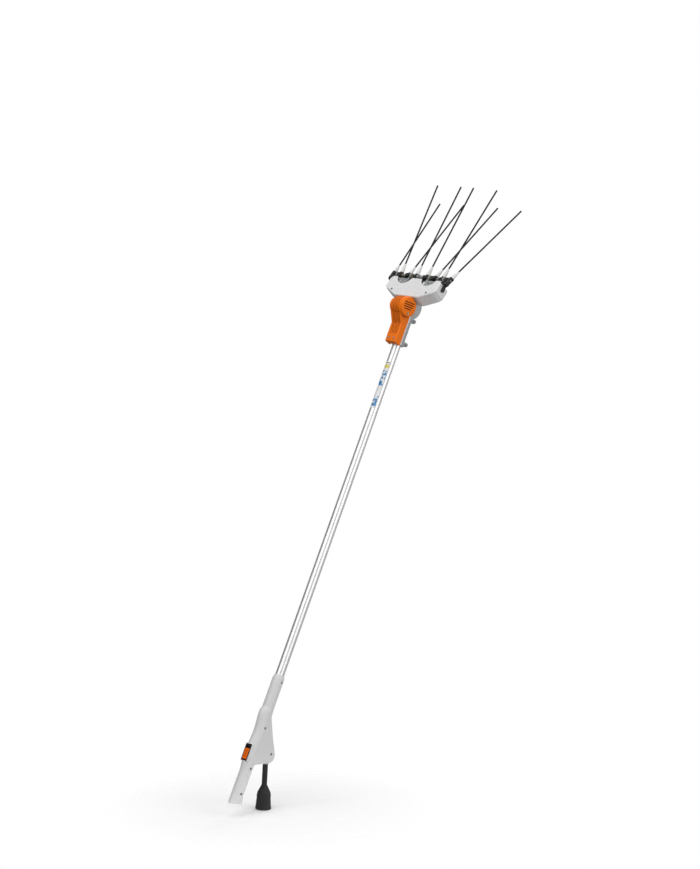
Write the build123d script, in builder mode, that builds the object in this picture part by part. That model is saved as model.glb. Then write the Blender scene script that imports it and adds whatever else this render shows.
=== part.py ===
from build123d import *
import os
from math import atan2, cos, degrees, pi, radians, sin, sqrt, tan

# Battery pole harvester: shaking rods on a twin rocker head, gear motor, pole and control handle.
# Millimetres. Z runs up the pole's axis from the bottom of the grip; -Y is the front, +X the right.

# ---- driving dimensions ------------------------------------------------------------------------
TUBE_R = 14.0
TUBE_WALL = 1.5
TUBE_BOTTOM = 300.0
TUBE_TOP = 1600.0

HEAD_PITCH = 17.6          # the head leans back over the pole
PIVOT_Y = 2.0
PIVOT_Z = 1742.0
ROCK = 7.66                # each rocker swings this far either side of the head's middle plane

ROD_R = 2.6
ROD_REACH = 343.0          # from the rocker axis to a rod's tip
CONE_END = 42.0
CONE_BASE_R = 6.6
CONE_TIP_R = 3.5
ROD_SEAT = 15.0
OUTER_A_X = 121.6
INNER_A_X = 56.8
OUTER_B_X = 89.2
INNER_B_X = 22.8
FAN_OUTER_A = 9.05
FAN_INNER_A = 2.7
FAN_OUTER_B = 6.4
FAN_INNER_B = 0.7

AXLE_R = 5.0
AXLE_HALF = 127.0
RUN = 0.05                 # radial clearance of the running fits
HUB_R = 7.6
B_HUB_R = 8.4
BUSH_R = 6.6

HEAD_HALF = 108.0
HEAD_FRONT_W = -15.0
HEAD_SPLIT_W = 8.0
HEAD_REAR_W = 32.0
HEAD_TOP_U = -13.5
HEAD_BOTTOM_U = -87.0
SHELL = 2.5

MODULE = 1.25
CRANK_TEETH = 28
IDLER_TEETH = 56
PINION_TEETH = 12
GEAR_HALF = 4.0
IDLER_Y = 0.0
IDLER_Z = 1643.0
CRANK_W = 9.0
CASE_R = 39.5
CASE_HALF = 11.0
COVER_PLATE = 2.6

DRUM_R = 32.0
DRUM_LOW = -13.0
DRUM_HIGH = 35.0
SMALL_DRUM_R = 25.0
SMALL_DRUM_LOW = -28.0
NECK_HALF = 22.5
NECK_FRONT_Y = -37.0
COVER_BACK_Y = -10.5
COVER_BOTTOM_Z = 1508.0
COVER_WALL = 2.4

GRIP_R = 19.5
SLEEVE_R = 18.4
HANDLE_TOP = 405.0
HOUSING_HALF = 17.0
GRIP_SLANT = 15.0
HANDLE_WALL = 2.6
TOP_SCREW = (2, 396)
SWITCH_LOW_Z = 136.0
SWITCH_HIGH_Z = 189.0
SWITCH_HALF_X = 12.5
SWITCH_FACE_Y = -23.5
BEZEL_FACE_Y = -23.7
BEZEL_RIM = 2.2
BUTTON_HALF_X = 9.0
BUTTON_LENGTH = 34.0
BUTTON_TRAVEL = 8.0

BOOT_TILT = 23.6
BOOT_Y = 68.5
BOOT_Z = 156.7
NECK_R = 8.3
NECK_LENGTH = 70.0
SHOULDER_END = 94.0
SHOULDER_R = 20.5
BELL_END = 145.0
BELL_R = 24.5
SOCKET_R = 17.0
SOCKET_DEPTH = 30.0

# ---- derived frames ----------------------------------------------------------------------------
c_head = cos(radians(HEAD_PITCH))
s_head = sin(radians(HEAD_PITCH))
PIVOT = Vector(0, PIVOT_Y, PIVOT_Z)


def head_point(x, w, u):
    """A point of the head from its offsets along X, backwards and upwards from the rocker axis."""
    return Vector(x, PIVOT_Y + w * c_head + u * s_head, PIVOT_Z - w * s_head + u * c_head)


def head_side(x):
    """Plane across the head at x: sketch axes are backwards and up, normal +X."""
    return Plane(origin=head_point(x, 0, 0), x_dir=(0, c_head, -s_head), z_dir=(1, 0, 0))


def head_front(w):
    """Plane facing forwards at depth w: sketch axes are X and up, normal points to the front."""
    return Plane(origin=head_point(0, w, 0), x_dir=(1, 0, 0), z_dir=(0, -c_head, s_head))


def side_plane(x):
    """Plane at x seen along the pole: sketch axes are Y and Z, normal +X."""
    return Plane(origin=(x, 0, 0), x_dir=(0, 1, 0), z_dir=(1, 0, 0))


def rod_plane(x, lean, fan, along):
    """Plane square to a rod, a distance along it from the rocker axis."""
    side = 1 if x > 0 else -1
    w = cos(radians(fan)) * sin(radians(lean))
    u = cos(radians(fan)) * cos(radians(lean))
    way = Vector(side * sin(radians(fan)), w * c_head + u * s_head, -w * s_head + u * c_head)
    return Plane(origin=head_point(x, 0, 0) + way * along, x_dir=(0, way.Z, -way.Y), z_dir=way)


def save(part, name):
    part.label = name
    export_step(part, f"parts/{name}.step")


idler_w = (IDLER_Y - PIVOT_Y) * c_head - (IDLER_Z - PIVOT_Z) * s_head
idler_u = (IDLER_Y - PIVOT_Y) * s_head + (IDLER_Z - PIVOT_Z) * c_head
crank_gap = MODULE * (CRANK_TEETH + IDLER_TEETH) / 2
CRANK_U = idler_u + sqrt(crank_gap ** 2 - (idler_w - CRANK_W) ** 2)
crank_axis = head_point(0, CRANK_W, CRANK_U)
pinion_gap = MODULE * (IDLER_TEETH + PINION_TEETH) / 2
motor_way = Vector(0, -0.94, -0.34).normalized()
MOTOR_Y = IDLER_Y + motor_way.Y * pinion_gap
MOTOR_Z = IDLER_Z + motor_way.Z * pinion_gap
lever_arm = sqrt(CRANK_W ** 2 + CRANK_U ** 2)
throw = lever_arm * tan(radians(ROCK))
lever_angle = degrees(atan2(CRANK_U, CRANK_W))

os.makedirs("parts", exist_ok=True)


# ---- the pole ----------------------------------------------------------------------------------
with BuildPart() as tube:
    with BuildSketch(Plane.XY.offset(TUBE_BOTTOM)):
        Circle(TUBE_R)
        Circle(TUBE_R - TUBE_WALL, mode=Mode.SUBTRACT)
    extrude(amount=TUBE_TOP - TUBE_BOTTOM)
    with BuildSketch(side_plane(8)):
        with Locations(TOP_SCREW):
            Circle(1.6)
    extrude(amount=10, mode=Mode.SUBTRACT)
save(tube.part, "tube")

LABEL_LOW = 1296.0
LABEL_HIGH = 1452.0
with BuildPart() as tube_label:
    with BuildSketch(Plane.XY.offset(LABEL_LOW)):
        Circle(TUBE_R + 0.25)
        Circle(TUBE_R, mode=Mode.SUBTRACT)
        with Locations((TUBE_R * 1.32, TUBE_R * 0.9)):
            Rectangle(3 * TUBE_R, 3 * TUBE_R, rotation=38, mode=Mode.SUBTRACT)
    extrude(amount=LABEL_HIGH - LABEL_LOW)
save(tube_label.part, "tube_label")

# supply lead laid inside the pole, from the control board up to the motor
with BuildPart() as supply_lead:
    with BuildLine():
        FilletPolyline((0, 14, 228), (0, 0, TUBE_BOTTOM), (0, 0, TUBE_TOP - 2), radius=280)
    with BuildSketch(Plane(origin=(0, 14, 228), z_dir=(0, -14, 72))):
        Circle(3.2)
    sweep()
save(supply_lead.part, "supply_lead")


# ---- gear teeth --------------------------------------------------------------------------------
def gear_outline(teeth, addendum, centre, phase):
    """Involute outline: flank points of each tooth in turn, root to tip and back to root."""
    pitch_r = MODULE * teeth / 2
    base_r = pitch_r * cos(radians(20))
    tip_r = pitch_r + addendum * MODULE
    root_r = pitch_r - 1.2 * MODULE
    foot_r = max(base_r, root_r + 0.05)
    half = pi / (2 * teeth) - 0.06 / pitch_r + tan(radians(20)) - radians(20)
    points = []
    for tooth in range(teeth):
        middle = phase + 2 * pi * tooth / teeth
        flank = []
        for step in range(4):
            r = foot_r + (tip_r - foot_r) * step / 3
            roll = sqrt(max((r / base_r) ** 2 - 1, 0))
            flank.append((r, half - (roll - atan2(roll, 1))))
        flank.insert(0, (root_r, flank[0][1]))
        for r, off in flank:
            points.append((centre[0] + r * cos(middle - off), centre[1] + r * sin(middle - off)))
        for r, off in reversed(flank):
            points.append((centre[0] + r * cos(middle + off), centre[1] + r * sin(middle + off)))
    return points


def gear_blank(teeth, addendum, centre, phase, half):
    with BuildPart() as blank:
        with BuildSketch(side_plane(-half)):
            with BuildLine():
                Polyline(*gear_outline(teeth, addendum, centre, phase), close=True)
            make_face()
        extrude(amount=2 * half)
    return blank.part


idler_centre = (IDLER_Y, IDLER_Z)
crank_centre = (crank_axis.Y, crank_axis.Z)
motor_centre = (MOTOR_Y, MOTOR_Z)
to_crank = atan2(crank_centre[1] - IDLER_Z, crank_centre[0] - IDLER_Y)
to_motor = atan2(MOTOR_Z - IDLER_Z, MOTOR_Y - IDLER_Y)
idler_step = 2 * pi / IDLER_TEETH
lag = (to_crank - to_motor) % idler_step
crank_phase = to_crank + pi + pi / CRANK_TEETH
pinion_phase = to_motor + pi - lag * IDLER_TEETH / PINION_TEETH + pi / PINION_TEETH


def along_x(centre, radius, low, high):
    """Round bar parallel to X."""
    with BuildPart() as bar:
        with BuildSketch(side_plane(low)):
            with Locations(centre):
                Circle(radius)
        extrude(amount=high - low)
    return bar.part


def ring_x(centre, outer, inner, low, high):
    """Round ring parallel to X."""
    with BuildPart() as ring:
        with BuildSketch(side_plane(low)):
            with Locations(centre):
                Circle(outer)
                Circle(inner, mode=Mode.SUBTRACT)
        extrude(amount=high - low)
    return ring.part


# ---- crankshaft and gear train -----------------------------------------------------------------
def pin_centre(lean):
    reach = lever_arm / cos(radians(ROCK))
    angle = radians(lever_angle - lean)
    spot = head_point(0, reach * cos(angle), reach * sin(angle))
    return (spot.Y, spot.Z)


PIN_R = 4.0
ROLLER_R = 6.5
CHEEK_R = 11.0
pin_a = pin_centre(ROCK)
pin_b = pin_centre(-ROCK)
with BuildPart() as crankshaft:
    add(along_x(crank_centre, CHEEK_R, -GEAR_HALF, GEAR_HALF))
    add(along_x(pin_a, PIN_R, GEAR_HALF - 1, 15))
    add(along_x(pin_b, PIN_R, -15, 1 - GEAR_HALF))
    add(along_x(crank_centre, CHEEK_R, 14.6, 16.4))
    add(along_x(crank_centre, CHEEK_R, -16.4, -14.6))
    add(along_x(crank_centre, PIN_R, 16, 22))
    add(along_x(crank_centre, PIN_R, -22, -16))
save(crankshaft.part, "crankshaft")

with BuildPart() as crank_gear:
    add(gear_blank(CRANK_TEETH, 1.0, crank_centre, crank_phase, GEAR_HALF))
    add(along_x(crank_centre, CHEEK_R, -5, 5), mode=Mode.SUBTRACT)
save(crank_gear.part, "crank_gear")

with BuildPart() as crank_rollers:
    add(ring_x(pin_a, ROLLER_R, PIN_R + RUN, 8.3, 14.1))
    add(ring_x(pin_b, ROLLER_R, PIN_R + RUN, -14.1, -8.3))
save(crank_rollers.part, "crank_rollers")

IDLER_SHAFT_R = 5.0
with BuildPart() as idler_gear:
    add(gear_blank(IDLER_TEETH, 0.75, idler_centre, to_crank, GEAR_HALF))
    add(along_x(idler_centre, 9, -7, 7))
    with BuildSketch(side_plane(-8)):
        with Locations(idler_centre):
            with PolarLocations(21, 6):
                Circle(6)
    extrude(amount=16, mode=Mode.SUBTRACT)
    add(along_x(idler_centre, IDLER_SHAFT_R, -13, 13))
save(idler_gear.part, "idler_gear")

MOTOR_SHAFT_R = 3.0
with BuildPart() as motor_shaft:
    add(gear_blank(PINION_TEETH, 1.0, motor_centre, pinion_phase, GEAR_HALF))
    add(along_x(motor_centre, MOTOR_SHAFT_R, -25, 29.5))
save(motor_shaft.part, "motor_shaft")

# ---- motor and fan -----------------------------------------------------------------------------
with BuildPart() as motor_rotor:
    add(ring_x(motor_centre, 15.5, MOTOR_SHAFT_R, 16, 27.5))
    with BuildSketch(side_plane(16.2)):
        with Locations(motor_centre):
            Circle(17.2)
            Circle(15, mode=Mode.SUBTRACT)
            with PolarLocations(16.6, 8):
                Rectangle(1.6, 3, mode=Mode.SUBTRACT)
    extrude(amount=11.1)
save(motor_rotor.part, "motor_rotor")

with BuildPart() as motor_stator:
    with BuildSketch(side_plane(15.5)):
        with Locations(motor_centre):
            Circle(26)
            Circle(18, mode=Mode.SUBTRACT)
            with PolarLocations(21.2, 12):
                Rectangle(4.4, 5, mode=Mode.SUBTRACT)
    extrude(amount=12.5)
save(motor_stator.part, "motor_stator")

with BuildPart() as stator_coils:
    with BuildSketch(side_plane(14.8)):
        with Locations(motor_centre):
            with PolarLocations(21.2, 12):
                Rectangle(4, 4.6)
    extrude(amount=13.9)
save(stator_coils.part, "stator_coils")

with BuildPart() as motor_can:
    add(ring_x(motor_centre, 27.4, 26, 12.4, 30))
    add(ring_x(motor_centre, 27.4, 8, 30, 31.4))
    add(ring_x(motor_centre, 8, MOTOR_SHAFT_R + RUN, 28.2, 31.4))
    with BuildSketch(side_plane(28)):
        with Locations(motor_centre):
            with PolarLocations(19, 8):
                Rectangle(8, 4)
    extrude(amount=5, mode=Mode.SUBTRACT)
save(motor_can.part, "motor_can")

with BuildPart() as cooling_fan:
    add(ring_x(motor_centre, 8, MOTOR_SHAFT_R, -25, -17))
    add(ring_x(motor_centre, 21, 7, -18.5, -17))
    with BuildSketch(side_plane(-24.5)):
        with Locations(motor_centre):
            with PolarLocations(13.6, 9):
                Rectangle(13.6, 1.4, rotation=24)
    extrude(amount=7.5)
save(cooling_fan.part, "cooling_fan")

# ---- gear case, its lid and the pole clamp -----------------------------------------------------
CAVITY_R = 37.0
CASE_LID_X = CASE_HALF - COVER_PLATE
CLAMP_R = 19.5
CLAMP_BOTTOM = 1512.0
EAR_Z = (1524.0, 1603.0)


def case_outline(inset):
    """Outline of the gear case in the Y-Z plane, shrunk by an inset."""
    with Locations(idler_centre):
        Circle(CASE_R - inset)
    with Locations(motor_centre):
        Circle(13 - inset)
    with Locations(((MOTOR_Y + IDLER_Y) / 2 - 4, (MOTOR_Z + IDLER_Z) / 2)):
        Rectangle(34 - 2 * inset, 25 - 2 * inset, rotation=degrees(to_motor))


with BuildPart() as gear_case:
    with BuildSketch(side_plane(-CASE_HALF)):
        case_outline(0)
    extrude(amount=CASE_HALF + CASE_LID_X)
    add(along_x(idler_centre, 9, -14.5, -CASE_HALF + 1))
    with BuildSketch(Plane.XY.offset(CLAMP_BOTTOM)):
        Circle(CLAMP_R)
    extrude(amount=TUBE_TOP + 8 - CLAMP_BOTTOM)
    for ear_z in EAR_Z:
        with BuildSketch(side_plane(-11)):
            with Locations((22, ear_z)):
                SlotOverall(26, 13)
            with Locations((14, ear_z)):
                Rectangle(14, 13)
        extrude(amount=22)
    with BuildSketch(side_plane(-CASE_HALF + COVER_PLATE)):
        with Locations(idler_centre):
            Circle(CAVITY_R)
        with Locations(motor_centre):
            Circle(10.5)
        with Locations(((MOTOR_Y + IDLER_Y) / 2 - 4, (MOTOR_Z + IDLER_Z) / 2)):
            Rectangle(34, 20, rotation=degrees(to_motor))
    extrude(amount=2 * CASE_HALF, mode=Mode.SUBTRACT)
    add(along_x(crank_centre, 19.8, -CASE_HALF - 1, CASE_HALF + 1), mode=Mode.SUBTRACT)
    with BuildSketch(Plane.XY.offset(CLAMP_BOTTOM - 1)):
        Circle(TUBE_R)
    extrude(amount=TUBE_TOP + 1 - CLAMP_BOTTOM, mode=Mode.SUBTRACT)
    with BuildSketch(Plane.XY.offset(CLAMP_BOTTOM - 1)):
        with Locations((0, 25)):
            Rectangle(2.4, 30)
    extrude(amount=EAR_Z[1] + 7.5 - CLAMP_BOTTOM, mode=Mode.SUBTRACT)
    for ear_z in EAR_Z:
        add(along_x((26, ear_z), 2.5, -12, 12), mode=Mode.SUBTRACT)
    add(along_x(idler_centre, 8, -16, 0), mode=Mode.SUBTRACT)
    add(along_x(motor_centre, 6.5, -16, 0), mode=Mode.SUBTRACT)
save(gear_case.part, "gear_case")

with BuildPart() as gear_case_lid:
    with BuildSketch(side_plane(CASE_LID_X)):
        case_outline(0)
    extrude(amount=COVER_PLATE)
    add(along_x(idler_centre, 9, CASE_LID_X, 14.5))
    add(along_x(motor_centre, 27.4, CASE_LID_X + 0.6, 12.4))
    add(along_x(crank_centre, 19.8, -CASE_HALF - 1, CASE_HALF + 1), mode=Mode.SUBTRACT)
    with BuildSketch(Plane.XY.offset(CLAMP_BOTTOM - 1)):
        Circle(CLAMP_R + 0.1)
    extrude(amount=TUBE_TOP + 9.1 - CLAMP_BOTTOM, mode=Mode.SUBTRACT)
    with BuildSketch(side_plane(0)):
        with Locations((25, 1600)):
            Rectangle(44, 21)
    extrude(amount=20, mode=Mode.SUBTRACT)
    add(along_x(idler_centre, 8, CASE_LID_X - 1, 16), mode=Mode.SUBTRACT)
    add(along_x(motor_centre, 6.5, CASE_LID_X - 1, 16), mode=Mode.SUBTRACT)
save(gear_case_lid.part, "gear_case_lid")

with BuildPart() as gear_bearings:
    add(ring_x(idler_centre, 8, IDLER_SHAFT_R + RUN, -14.5, -9.5))
    add(ring_x(idler_centre, 8, IDLER_SHAFT_R + RUN, 9.5, 14.5))
    add(ring_x(motor_centre, 6.5, MOTOR_SHAFT_R + RUN, -CASE_HALF, -7))
    add(ring_x(motor_centre, 6.5, MOTOR_SHAFT_R + RUN, 7, 12.4))
save(gear_bearings.part, "gear_bearings")

with BuildPart() as clamp_screws:
    for ear_z in EAR_Z:
        add(along_x((26, ear_z), 2.5, -13.5, 11))
        add(along_x((26, ear_z), 4.6, 11, 15.5))
        add(along_x((26, ear_z), 4.4, -15, -11))
        add(along_x((26, ear_z), 2.1, 13.5, 16), mode=Mode.SUBTRACT)
save(clamp_screws.part, "clamp_screws")


# ---- rocker axle and the A rocker --------------------------------------------------------------
axle_centre = (PIVOT_Y, PIVOT_Z)


def leaned_side(x, lean):
    """Side plane of the head at x turned with a rocker that leans back by an angle."""
    turn = radians(HEAD_PITCH + lean)
    return Plane(origin=head_point(x, 0, 0), x_dir=(0, cos(turn), -sin(turn)), z_dir=(1, 0, 0))


def leaned_front(x, lean):
    """Plane through the axle at x, facing forwards, turned with a rocker that leans back."""
    turn = radians(HEAD_PITCH + lean)
    return Plane(origin=head_point(x, 0, 0), x_dir=(1, 0, 0), z_dir=(0, -cos(turn), sin(turn)))


def lever_plane(x, lean):
    """Side plane at x whose sketch X axis runs down a drive lever, from axle to crank."""
    turn = radians(lever_angle - lean)
    spot = head_point(0, cos(turn), sin(turn)) - PIVOT
    return Plane(origin=head_point(x, 0, 0), x_dir=spot, z_dir=(1, 0, 0))


with BuildPart() as rocker_axle:
    add(along_x(axle_centre, AXLE_R, -AXLE_HALF, AXLE_HALF))
    chamfer(rocker_axle.edges().filter_by(GeomType.CIRCLE), 0.8)
save(rocker_axle.part, "rocker_axle")

BARREL_LOW = -21.0
CONE_LOW = 10.4
ARM_FOOT = (10.9, -35.9)     # backwards and up from the axle
DISC_R = 7.2
DISC_REACH = 11.0


def end_holder(side):
    """Outer holder of the A rocker: axle hub, slanted rod barrel and hanging arm."""
    x = side * OUTER_A_X
    with BuildPart() as holder:
        with BuildSketch(leaned_side(side * 112.4 - 2.5, ROCK)):
            Circle(10)
            with Locations((ARM_FOOT[0] / 2, ARM_FOOT[1] / 2)):
                Rectangle(10, 37.5, rotation=degrees(atan2(ARM_FOOT[0], -ARM_FOOT[1])))
            with Locations(ARM_FOOT):
                Circle(5)
        extrude(amount=5)
        add(along_x(axle_centre, 8.6, *sorted((side * 110, side * 122))))
        with BuildSketch(rod_plane(x, ROCK, FAN_OUTER_A, BARREL_LOW)):
            Circle(8.2)
        extrude(amount=CONE_LOW - BARREL_LOW)
        with BuildSketch(rod_plane(x, ROCK, FAN_OUTER_A, BARREL_LOW + 4)):
            Circle(9)
            Circle(7.5, mode=Mode.SUBTRACT)
        extrude(amount=3)
        add(along_x(axle_centre, AXLE_R, -140, 140), mode=Mode.SUBTRACT)
    return holder.part


save(end_holder(-1), "end_holder_left")
save(end_holder(1), "end_holder_right")


def inner_holder(side):
    """Inner holder of the A rocker: round hub with a short rod boss."""
    x = side * INNER_A_X
    with BuildPart() as holder:
        add(along_x(axle_centre, HUB_R, x - 9, x + 9))
        with BuildSketch(rod_plane(x, ROCK, FAN_INNER_A, 0)):
            Circle(6.7)
        extrude(amount=CONE_LOW)
        with BuildSketch(leaned_front(x, ROCK)):
            with Locations((0, -3)):
                Circle(DISC_R)
        extrude(amount=DISC_REACH)
        add(along_x(axle_centre, AXLE_R, -140, 140), mode=Mode.SUBTRACT)
    return holder.part


save(inner_holder(-1), "inner_holder_left")
save(inner_holder(1), "inner_holder_right")

FORK_HALF_SLOT = 8.4
FORK_HALF = 11.5


def drive_lever(x, lean, bore):
    """Lever from the axle down to a crank roller, with an open fork at its foot."""
    with BuildPart() as lever:
        with BuildSketch(lever_plane(x, lean)):
            Circle(9.5)
            with Locations(((lever_arm - 14) / 2, 0)):
                Rectangle(lever_arm - 14, 11)
            with Locations((lever_arm - 7, 0)):
                RectangleRounded(34, 2 * FORK_HALF, 4)
            with Locations((lever_arm + 6, 0)):
                SlotCenterToCenter(26, 2 * FORK_HALF_SLOT, mode=Mode.SUBTRACT)
            Circle(bore, mode=Mode.SUBTRACT)
        extrude(amount=6.2)
    return lever.part


save(drive_lever(8, ROCK, AXLE_R), "lever_a")
with BuildPart() as lever_b:
    add(drive_lever(-14.2, -ROCK, AXLE_R + RUN))
    add(ring_x(axle_centre, 8, AXLE_R + RUN, -15.4, -14.2))
save(lever_b.part, "lever_b")

# ---- the B rocker ------------------------------------------------------------------------------
BAR_W = 18.0
BAR_U = 0.0
B_PLACES = ((-OUTER_B_X, FAN_OUTER_B), (-INNER_B_X, FAN_INNER_B),
            (INNER_B_X, FAN_INNER_B), (OUTER_B_X, FAN_OUTER_B))
HUB_HALF = 7.4
with BuildPart() as rocker_b:
    for x, fan in B_PLACES:
        add(along_x(axle_centre, B_HUB_R, x - HUB_HALF, x + HUB_HALF))
        with BuildSketch(rod_plane(x, -ROCK, fan, 0)):
            Circle(6.7)
        extrude(amount=CONE_LOW)
        with BuildSketch(leaned_side(x - 3.5, -ROCK)):
            with BuildLine():
                Polyline((0, 8), (0, -8), (BAR_W, BAR_U - 3.5), (BAR_W, BAR_U + 3.5), close=True)
            make_face()
        extrude(amount=7)
    with BuildSketch(leaned_side(-OUTER_B_X - 4, -ROCK)):
        with Locations((BAR_W, BAR_U)):
            Circle(3.5)
    extrude(amount=2 * OUTER_B_X + 8)
    for x in (-OUTER_B_X, OUTER_B_X):
        with BuildSketch(leaned_front(x, -ROCK)):
            with Locations((0, -3)):
                Circle(DISC_R)
        extrude(amount=DISC_REACH)
    add(along_x(axle_centre, BUSH_R, -140, 140), mode=Mode.SUBTRACT)
save(rocker_b.part, "rocker_b")

with BuildPart() as rocker_b_bushes:
    for x, fan in B_PLACES:
        add(ring_x(axle_centre, BUSH_R, AXLE_R + RUN, x - HUB_HALF, x + HUB_HALF))
save(rocker_b_bushes.part, "rocker_b_bushes")

# ---- rods and their sockets --------------------------------------------------------------------
ROD_PLACES = ((-OUTER_A_X, ROCK, FAN_OUTER_A), (-OUTER_B_X, -ROCK, FAN_OUTER_B),
              (-INNER_A_X, ROCK, FAN_INNER_A), (-INNER_B_X, -ROCK, FAN_INNER_B),
              (INNER_B_X, -ROCK, FAN_INNER_B), (INNER_A_X, ROCK, FAN_INNER_A),
              (OUTER_B_X, -ROCK, FAN_OUTER_B), (OUTER_A_X, ROCK, FAN_OUTER_A))


def rod_socket(x, lean, fan):
    """Tapered sleeve that holds a rod, with a collar at its foot."""
    with BuildPart() as socket:
        with BuildSketch(rod_plane(x, lean, fan, CONE_LOW)):
            Circle(CONE_BASE_R)
        with BuildSketch(rod_plane(x, lean, fan, CONE_END)):
            Circle(CONE_TIP_R)
        loft()
        with BuildSketch(rod_plane(x, lean, fan, CONE_LOW)):
            Circle(6.9)
        extrude(amount=2.6)
        with BuildSketch(rod_plane(x, lean, fan, ROD_SEAT)):
            Circle(ROD_R)
        extrude(amount=CONE_END, mode=Mode.SUBTRACT)
    return socket.part


def shaking_rod(x, lean, fan):
    with BuildPart() as rod:
        with BuildSketch(rod_plane(x, lean, fan, ROD_SEAT)):
            Circle(ROD_R)
        extrude(amount=ROD_REACH - ROD_SEAT)
        fillet(rod.edges().filter_by(GeomType.CIRCLE), 1.2)
    return rod.part


for number, (x, lean, fan) in enumerate(ROD_PLACES, 1):
    save(shaking_rod(x, lean, fan), f"rod_{number}")

with BuildPart() as rod_sockets_a:
    for x, lean, fan in ROD_PLACES:
        if lean > 0:
            add(rod_socket(x, lean, fan))
save(rod_sockets_a.part, "rod_sockets_a")

with BuildPart() as rod_sockets_b:
    for x, lean, fan in ROD_PLACES:
        if lean < 0:
            add(rod_socket(x, lean, fan))
save(rod_sockets_b.part, "rod_sockets_b")

# ---- rocker frame: bearing posts and crank webs on two back rails ------------------------------
POST_X = (40.0, 100.4)
POST_HALF = 3.0
WEB_X = 18.8
RAIL_MIDDLE = 60.1
RAIL_HALF = 43.3
RAIL_FRONT = 22.0
RAIL_BACK = 27.0
FRAME_BOLTS = ((-80, -43), (-52, -43), (52, -43), (80, -43))
with BuildPart() as rocker_frame:
    for side in (-1, 1):
        with BuildSketch(head_side(side * RAIL_MIDDLE - RAIL_HALF)):
            with Locations(((RAIL_FRONT + RAIL_BACK) / 2, -43)):
                Rectangle(RAIL_BACK - RAIL_FRONT, 18)
        extrude(amount=2 * RAIL_HALF)
        for post_x in POST_X:
            with BuildSketch(head_side(side * post_x - POST_HALF)):
                with BuildLine():
                    Polyline((-7, -7), (4, 9), (RAIL_BACK, -34), (RAIL_BACK, -52),
                             (RAIL_FRONT, -52), (-10, -36), (-10, -12), close=True)
                make_face()
                Circle(10.5)
            extrude(amount=2 * POST_HALF)
        with BuildSketch(head_front(-7)):
            with Locations((side * (POST_X[0] + POST_X[1]) / 2, -26)):
                Rectangle(POST_X[1] - POST_X[0], 20)
                with GridLocations(16, 0, 3, 1):
                    Circle(3.4, mode=Mode.SUBTRACT)
        extrude(amount=3)
        with BuildSketch(head_side(side * WEB_X - 2)):
            with BuildLine():
                Polyline((CRANK_W - 2, CRANK_U + 9), (RAIL_BACK, -35), (RAIL_BACK, -52),
                         (CRANK_W, CRANK_U - 9), close=True)
            make_face()
            with Locations((CRANK_W, CRANK_U)):
                Circle(9.5)
        extrude(amount=4)
    add(along_x(axle_centre, 8, -140, 140), mode=Mode.SUBTRACT)
    add(along_x(crank_centre, 7.5, -24, 24), mode=Mode.SUBTRACT)
    with BuildSketch(head_front(RAIL_BACK + 1)):
        with Locations(*FRAME_BOLTS):
            Circle(2)
    extrude(amount=RAIL_BACK + 1 - RAIL_FRONT, mode=Mode.SUBTRACT)
save(rocker_frame.part, "rocker_frame")

with BuildPart() as frame_bearings:
    for side in (-1, 1):
        for post_x in POST_X:
            centre_x = side * post_x
            add(ring_x(axle_centre, 8, AXLE_R + RUN, centre_x - POST_HALF, centre_x + POST_HALF))
        add(ring_x(crank_centre, 7.5, PIN_R + RUN, side * WEB_X - 2, side * WEB_X + 2))
save(frame_bearings.part, "frame_bearings")


# ---- head housing ------------------------------------------------------------------------------
def head_outline():
    """Front outline of the housing in X and up: two dips in the top, slanted lower corners."""
    with BuildSketch() as outline:
        with BuildLine():
            Polyline((-82, HEAD_TOP_U), (-100, HEAD_TOP_U), (-HEAD_HALF, -24), (-HEAD_HALF, -54),
                     (-99, -64), (-50, HEAD_BOTTOM_U), (50, HEAD_BOTTOM_U), (99, -64),
                     (HEAD_HALF, -54), (HEAD_HALF, -24), (100, HEAD_TOP_U), (82, HEAD_TOP_U))
            ThreePointArc((82, HEAD_TOP_U), (50, -38), (21, HEAD_TOP_U))
            Line((21, HEAD_TOP_U), (-21, HEAD_TOP_U))
            ThreePointArc((-21, HEAD_TOP_U), (-50, -38), (-82, HEAD_TOP_U))
        make_face()
    return outline.sketch


with BuildPart() as head_solid:
    with BuildSketch(head_front(HEAD_REAR_W)):
        add(head_outline())
    extrude(amount=HEAD_REAR_W - HEAD_FRONT_W)
    fillet(head_solid.faces().sort_by(Axis(PIVOT, (0, -c_head, s_head)))[-1].edges(), 4)
    fillet(head_solid.faces().sort_by(Axis(PIVOT, (0, -c_head, s_head)))[0].edges(), 4)

with BuildPart() as head_hollow:
    with BuildSketch(head_front(HEAD_REAR_W - SHELL)):
        add(head_outline())
        offset(amount=-SHELL, kind=Kind.INTERSECTION)
    extrude(amount=HEAD_REAR_W - HEAD_FRONT_W - 2 * SHELL)
    with BuildSketch(head_front(HEAD_REAR_W - SHELL)):
        with Locations((0, -20)):
            Rectangle(2 * HEAD_HALF - 8, 60)
    extrude(amount=HEAD_REAR_W - HEAD_FRONT_W - 2 * SHELL)

MOUTH_HALF = 16.0
HEAD_BOSSES = ((-74, -66), (74, -66))
REAR_BOSSES = ((-30, -77), (30, -77))


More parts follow.
